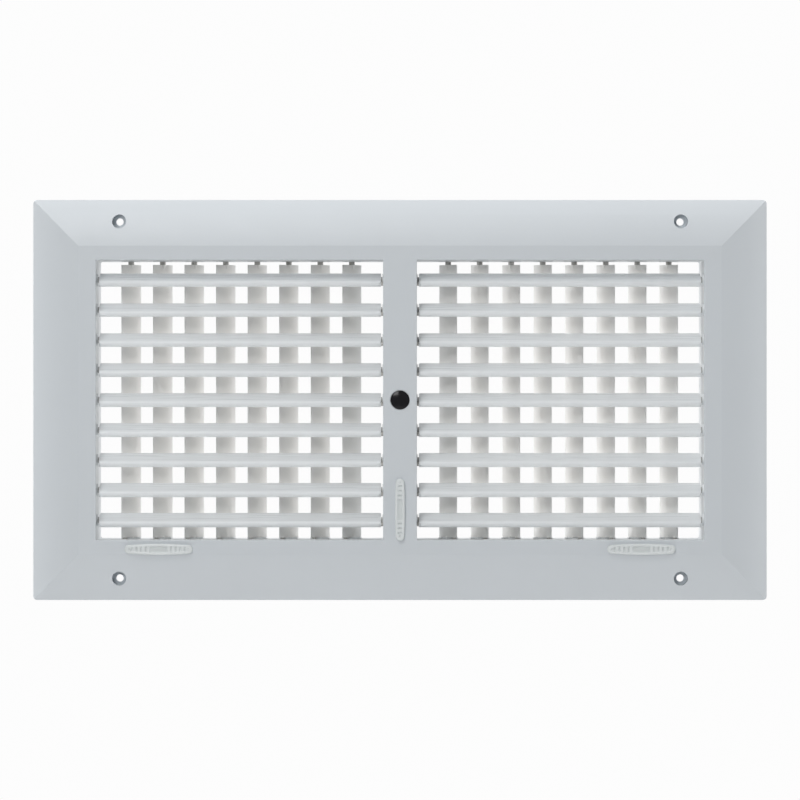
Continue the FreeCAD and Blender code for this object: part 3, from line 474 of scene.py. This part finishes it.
def grip_loops(length, width):
    """Loops of a grip from its foot, over the edge, and in to its spine: along, across, height."""
    outline = grip_outline(length, width)

    def level_loop(inset, height):
        """The outline, moved in towards the spine and lifted."""
        loop = []
        for edge, spine in outline:
            place = edge + (spine - edge).normalized() * inset
            loop.append((place.x, place.y, height))
        return loop

    loops = [level_loop(GRIP_FOOT_RADIUS, 0.0), level_loop(0.0, GRIP_FOOT_RADIUS)]
    for step in range(GRIP_EDGE_STEPS):
        turn = math.pi / 2 * step / GRIP_EDGE_STEPS
        inset = GRIP_EDGE_RADIUS * (1 - math.cos(turn))
        loops.append(level_loop(inset, GRIP_HEIGHT - GRIP_EDGE_RADIUS * (1 - math.sin(turn))))
    for step in range(GRIP_TOP_STEPS + 1):
        loop = []
        for edge, spine in outline:
            reach = (spine - edge).length
            depth_in = GRIP_EDGE_RADIUS + (reach - GRIP_EDGE_RADIUS) * step / GRIP_TOP_STEPS
            place = edge + (spine - edge).normalized() * depth_in
            loop.append((place.x, place.y, grip_relief(place, depth_in, length)))
        loops.append(loop)
    return [[crowned(point, length) for point in loop] for loop in loops]


def add_stem(form, depth):
    """A flat stem behind the grip, with softened edges."""
    made = bmesh.ops.create_cube(form, size=1.0)["verts"]
    size = Vector((STEM_BREADTH, STEM_THICKNESS, depth + STEM_INTO_GRIP))
    bmesh.ops.scale(form, vec=size, verts=made)
    bmesh.ops.translate(form, vec=(0, 0, STEM_INTO_GRIP - size.z / 2), verts=made)
    edges = {edge for vert in made for edge in vert.link_edges}
    bmesh.ops.bevel(form, geom=list(edges), offset=STEM_BEVEL, segments=STEM_BEVEL_STEPS,
                    profile=ROUND_BEVEL, affect="EDGES")


def thumb_slider(node, body, upright, material):
    """A dished, ribbed thumb grip on its stem, in place of the plain CAD one."""
    low, high = (Vector(corner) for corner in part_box(node))
    centre = (low + high) / 2
    size = high - low
    length, width = (size.z, size.x) if upright else (size.x, size.z)
    foot_y = low.y + GRIP_HEIGHT
    form = bmesh.new()
    rings = skin_loops(form, grip_loops(length, width))
    form.faces.new(rings[0])
    add_stem(form, high.y - foot_y)
    for vert in form.verts:
        along, across, height = vert.co
        x, z = (across, along) if upright else (along, across)
        vert.co = (centre.x + x, foot_y - height, centre.z + z)
    finish_piece(form, f"{node}_grip", body, material, node)


# --- Centre cap ----------------------------------------------------------------------------
def cap_profile(radius, crown_y, tip_y):
    """The cap's section from its crown to the tip of its shank: radius and Y."""
    edge_y = crown_y + CAP_DOME
    seat_y = crown_y + CAP_SEAT_DEPTH
    flat_radius = radius - CAP_EDGE_RADIUS
    profile = []
    for step in range(CAP_DOME_STEPS):
        share = step / CAP_DOME_STEPS
        profile.append((flat_radius * share, crown_y + (CAP_DOME - CAP_EDGE_RADIUS / 2) * share ** 2))
    for step in range(CAP_EDGE_STEPS + 1):
        turn = math.pi / 2 * step / CAP_EDGE_STEPS
        profile.append((flat_radius + CAP_EDGE_RADIUS * math.sin(turn),
                        edge_y + CAP_EDGE_RADIUS / 2 - CAP_EDGE_RADIUS * math.cos(turn)))
    bead_y = tip_y - CAP_BEAD_LENGTH
    profile += [
        (radius, seat_y),
        (CAP_SHANK_RADIUS, seat_y),
        (CAP_SHANK_RADIUS, bead_y),
        (CAP_BEAD_RADIUS, bead_y + CAP_BEAD_CHAMFER),
        (CAP_BEAD_RADIUS, tip_y - CAP_BEAD_CHAMFER),
        (CAP_BEAD_RADIUS - CAP_BEAD_CHAMFER, tip_y),
    ]
    return profile


def centre_cap(material):
    """A polished disc, domed and round-edged, on its snap-in shank."""
    low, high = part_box("centre_cap")
    profile = cap_profile((high[0] - low[0]) / 2, low[1], high[1])
    loops = []
    for radius, y in profile:
        turns = [2 * math.pi * side / CAP_SIDES for side in range(CAP_SIDES)]
        loops.append([(radius * math.cos(turn), y, radius * math.sin(turn)) for turn in turns])
    form = bmesh.new()
    rings = skin_loops(form, loops[1:])
    crown = form.verts.new((0, low[1], 0))
    for index in range(CAP_SIDES):
        form.faces.new((crown, rings[0][(index + 1) % CAP_SIDES], rings[0][index]))
    form.faces.new(rings[-1])
    piece = finish_piece(form, "centre_cap_polished", "housing", material, "centre_cap")
    # Only the dome and its round edge are smooth: the seat and the shank have crisp steps
    for polygon in piece.data.polygons:
        polygon.use_smooth = polygon.center.y < low[1] + CAP_DOME + CAP_EDGE_RADIUS / 2


# --- Camera, light and stage ---------------------------------------------------------------
def add_camera():
    """A level camera on the grille's axis."""
    low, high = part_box("front_frame")
    data = bpy.data.cameras.new("camera")
    data.sensor_width = SENSOR_WIDTH
    data.lens = SENSOR_WIDTH * CAMERA_DISTANCE / FRAMED_WIDTH
    camera = bpy.data.objects.new("camera", data)
    camera.location = ((low[0] + high[0]) / 2, low[1] - CAMERA_DISTANCE, (low[2] + high[2]) / 2)
    camera.rotation_euler = (math.radians(90), 0, 0)
    bpy.context.collection.objects.link(camera)
    bpy.context.scene.camera = camera


def add_softbox(name, place, size, power, reflected=True):
    """An area light that faces the grille and can't itself be seen."""
    data = bpy.data.lights.new(name, "AREA")
    data.shape = "RECTANGLE"
    data.size, data.size_y = size
    data.energy = power
    lamp = bpy.data.objects.new(name, data)
    lamp.location = place
    lamp.rotation_euler = (-Vector(place)).to_track_quat("-Z", "Y").to_euler()
    lamp.visible_camera = False
    lamp.visible_glossy = reflected
    bpy.context.collection.objects.link(lamp)


def add_world():
    """White surroundings, brighter behind the grille than in front."""
    world = bpy.data.worlds.new("studio")
    bpy.context.scene.world = world
    world.use_nodes = True
    tree = world.node_tree
    background = tree.nodes["Background"]
    background.inputs["Color"].default_value = (1, 1, 1, 1)
    direction = tree.nodes.new("ShaderNodeTexCoord").outputs["Generated"]
    parts = tree.nodes.new("ShaderNodeSeparateXYZ")
    tree.links.new(direction, parts.inputs["Vector"])
    glow = tree.nodes.new("ShaderNodeMapRange")
    glow.inputs["From Min"].default_value = -1.0
    glow.inputs["To Min"].default_value = ROOM_GLOW
    glow.inputs["To Max"].default_value = WALL_GLOW
    tree.links.new(parts.outputs["Y"], glow.inputs["Value"])
    seen = tree.nodes.new("ShaderNodeMix")
    seen.inputs["B"].default_value = WALL_SEEN
    tree.links.new(glow.outputs["Result"], seen.inputs["A"])
    tree.links.new(tree.nodes.new("ShaderNodeLightPath").outputs["Is Camera Ray"], seen.inputs["Factor"])
    tree.links.new(seen.outputs["Result"], background.inputs["Strength"])


def add_floor():
    """A pale round floor, well below the grille."""
    low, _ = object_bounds()
    mesh = bpy.data.meshes.new("floor")
    form = bmesh.new()
    bmesh.ops.create_circle(form, cap_ends=True, segments=FLOOR_SIDES, radius=FLOOR_RADIUS)
    form.to_mesh(mesh)
    form.free()
    floor = bpy.data.objects.new("floor", mesh)
    floor.location = (0, 0, low[2] - FLOOR_DROP)
    bpy.context.collection.objects.link(floor)
    shader = Shader("floor_paint")
    cloud = shader.noise(*FLOOR_NOISE)
    shader.join(shader.tint(cloud, FLOOR_COLOUR, FLOOR_SWING), shader.surface.inputs["Base Color"])
    shader.surface.inputs["Roughness"].default_value = FLOOR_ROUGHNESS
    mesh.materials.append(shader.material)


def light_stage():
    """The studio's surroundings and softboxes, with colours shown as they are."""
    bpy.context.scene.view_settings.view_transform = "Standard"
    add_world()
    for name, softbox in SOFTBOXES.items():
        add_softbox(name, **softbox)


# --- Making --------------------------------------------------------------------------------
add_camera()
add_floor()
light_stage()
materials = slot_materials()
dress_nodes(materials)
thumb_slider("louvre_slider", "louvre_slider_set", True, materials["slider_plastic"])
for side in SIDES:
    thumb_slider(f"vane_slider_{side}", f"vane_slider_{side}_set", False, materials["slider_plastic"])
centre_cap(materials["cap_black"])
